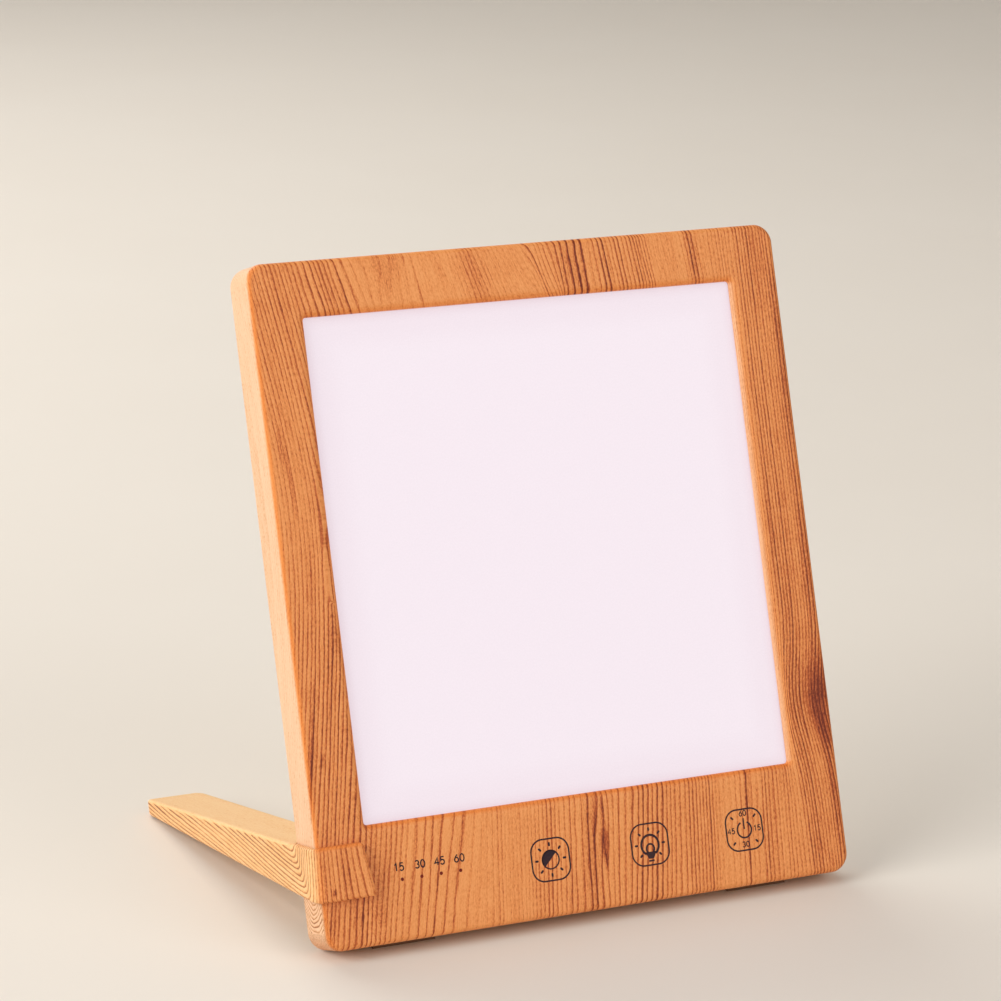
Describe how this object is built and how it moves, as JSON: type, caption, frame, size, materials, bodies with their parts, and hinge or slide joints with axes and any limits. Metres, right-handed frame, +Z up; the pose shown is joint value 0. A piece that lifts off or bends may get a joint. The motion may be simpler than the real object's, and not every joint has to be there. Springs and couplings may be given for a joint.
{
  "type": "light therapy lamp",
  "caption": "Slim backlit light therapy panel in a wood-grain frame, leaning back on a clip-on stand, with touch keys and timer lights in its lower rail.",
  "frame": {"origin": "middle of the overall box's underside, on the surface that the lamp stands on", "axes": "+Z up, the lit face towards -Y and leaning back, +X to the right as seen from the front"},
  "size_m": [0.213, 0.165, 0.2313],
  "materials": {
    "wood_print": "moulded plastic with a satin wood-grain print",
    "cover_plastic": "fine matte moulded texture",
    "diffuser": "opal, evenly lit from behind",
    "clear_acrylic": "polished clear acrylic",
    "white_plastic": "white moulded plastic",
    "aluminium": "plain mill finish",
    "steel": "zinc-plated screw steel",
    "circuit_board": "green solder mask",
    "black_plastic": "black moulded plastic",
    "rubber": "matte soft rubber",
    "brass": "bright plated contact",
    "red_wire": "red wire insulation",
    "black_wire": "black wire insulation"
  },
  "bodies": {
    "lamp": {"front_frame": "wood_print", "back_cover": "cover_plastic", "diffuser_plate": "diffuser", "light_guide": "clear_acrylic", "reflector_sheet": "white_plastic", "backlight_tray": "aluminium", "led_strip_left": "white_plastic", "led_strip_right": "white_plastic", "heat_rail_left": "aluminium", "heat_rail_right": "aluminium", "control_board": "circuit_board", "touch_spring_brightness": "brass", "touch_spring_light": "brass", "touch_spring_timer": "brass", "timer_light_15": "clear_acrylic", "timer_light_30": "clear_acrylic", "timer_light_45": "clear_acrylic", "timer_light_60": "clear_acrylic", "timer_controller": "black_plastic", "driver_chip": "black_plastic", "driver_coil": "black_plastic", "capacitor_input": "aluminium", "capacitor_output": "aluminium", "power_socket": "white_plastic", "led_socket_left": "white_plastic", "led_socket_right": "white_plastic", "power_inlet": "black_plastic", "power_inlet_pin": "brass", "inlet_wire_red": "red_wire", "inlet_wire_black": "black_wire", "led_wire_left_red": "red_wire", "led_wire_left_black": "black_wire", "led_wire_right_red": "red_wire", "led_wire_right_black": "black_wire", "foot_left": "rubber", "foot_right": "rubber", "cover_screw_1": "steel", "cover_screw_2": "steel", "cover_screw_3": "steel", "cover_screw_4": "steel", "cover_screw_5": "steel", "cover_screw_6": "steel", "tray_screw_1": "steel", "tray_screw_2": "steel", "tray_screw_3": "steel", "tray_screw_4": "steel", "board_screw_1": "steel", "board_screw_2": "steel", "board_screw_3": "steel", "board_screw_4": "steel"},
    "stand": {"stand_shell": "wood_print", "stand_cover": "cover_plastic", "stand_heel": "rubber", "grip_pad": "rubber", "stand_screw_1": "steel", "stand_screw_2": "steel"}
  },
  "joints": [
    {"name": "stand_slide", "type": "slide", "parent": "lamp", "child": "stand", "axis": [-1, 0, 0], "range_m": [0, 0.018]}
  ]
}
